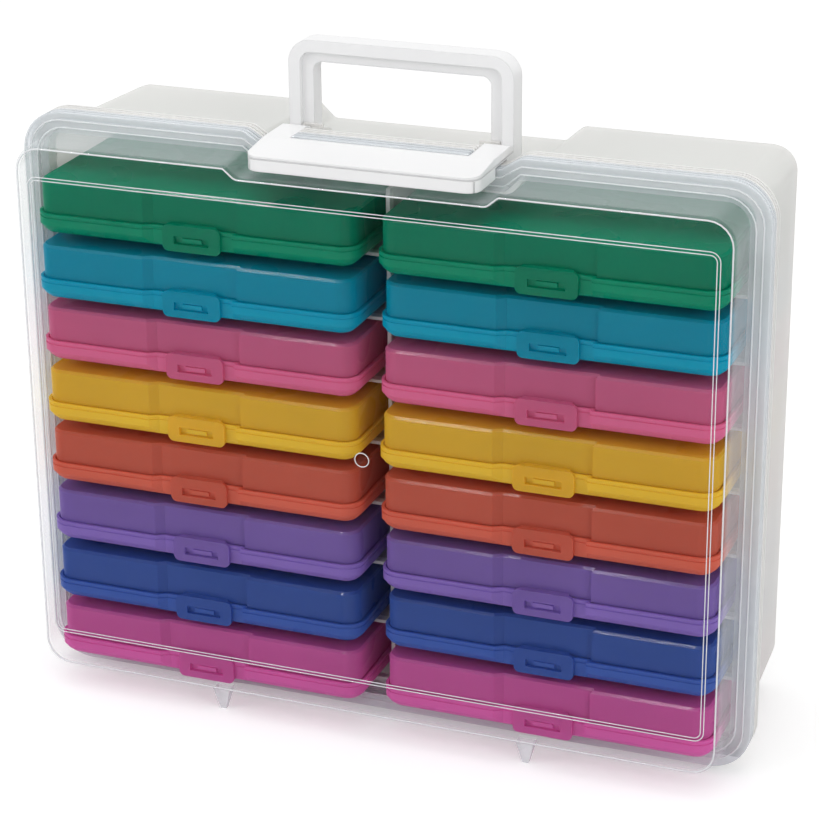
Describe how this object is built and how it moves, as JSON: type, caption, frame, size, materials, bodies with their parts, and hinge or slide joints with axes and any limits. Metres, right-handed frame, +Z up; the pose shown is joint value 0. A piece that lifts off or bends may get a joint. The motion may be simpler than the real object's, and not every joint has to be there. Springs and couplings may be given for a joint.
{
  "type": "photo keeper case",
  "caption": "Clear carry case for craft parts, with a folding handle, a latch, a hinged lid and two stacks of small coloured clip-top inner cases.",
  "frame": {"origin": "on the floor under the middle of the overall width and depth", "axes": "+X to the right across the case, seen from the front; +Y from the lid to the back wall; +Z up"},
  "size_m": [0.381, 0.13, 0.345],
  "materials": {
    "frosted_shell": "satin",
    "clear_lid": "gloss",
    "white_plastic": "satin",
    "case_emerald": "satin",
    "case_teal": "satin",
    "case_mauve": "satin",
    "case_yellow": "satin",
    "case_orange_red": "satin",
    "case_purple": "satin",
    "case_blue": "satin",
    "case_magenta": "satin"
  },
  "bodies": {
    "case": {"rear_shell": "frosted_shell", "left_rack": "frosted_shell", "middle_rack": "frosted_shell", "right_rack": "frosted_shell", "case_left_1_tray": "case_emerald", "case_left_1_lid": "case_emerald", "case_left_2_tray": "case_teal", "case_left_2_lid": "case_teal", "case_left_3_tray": "case_mauve", "case_left_3_lid": "case_mauve", "case_left_4_tray": "case_yellow", "case_left_4_lid": "case_yellow", "case_left_5_tray": "case_orange_red", "case_left_5_lid": "case_orange_red", "case_left_6_tray": "case_purple", "case_left_6_lid": "case_purple", "case_left_7_tray": "case_blue", "case_left_7_lid": "case_blue", "case_left_8_tray": "case_magenta", "case_left_8_lid": "case_magenta", "case_right_1_tray": "case_emerald", "case_right_1_lid": "case_emerald", "case_right_2_tray": "case_teal", "case_right_2_lid": "case_teal", "case_right_3_tray": "case_mauve", "case_right_3_lid": "case_mauve", "case_right_4_tray": "case_yellow", "case_right_4_lid": "case_yellow", "case_right_5_tray": "case_orange_red", "case_right_5_lid": "case_orange_red", "case_right_6_tray": "case_purple", "case_right_6_lid": "case_purple", "case_right_7_tray": "case_blue", "case_right_7_lid": "case_blue", "case_right_8_tray": "case_magenta", "case_right_8_lid": "case_magenta"},
    "lid": {"front_lid": "clear_lid"},
    "latch": {"lid_latch": "white_plastic"},
    "handle": {"carry_handle": "white_plastic"}
  },
  "joints": [
    {"name": "lid_hinge", "type": "hinge", "parent": "case", "child": "lid", "pos_m": [0, -0.029, 0.004], "axis": [1, 0, 0], "range_deg": [0, 120]},
    {"name": "latch_pivot", "type": "hinge", "parent": "case", "child": "latch", "pos_m": [0, -0.0155, 0.2987], "axis": [-1, 0, 0], "range_deg": [0, 90]},
    {"name": "handle_pivot", "type": "hinge", "parent": "case", "child": "handle", "pos_m": [0, -0.001, 0.2945], "axis": [-1, 0, 0], "range_deg": [0, 90]}
  ]
}
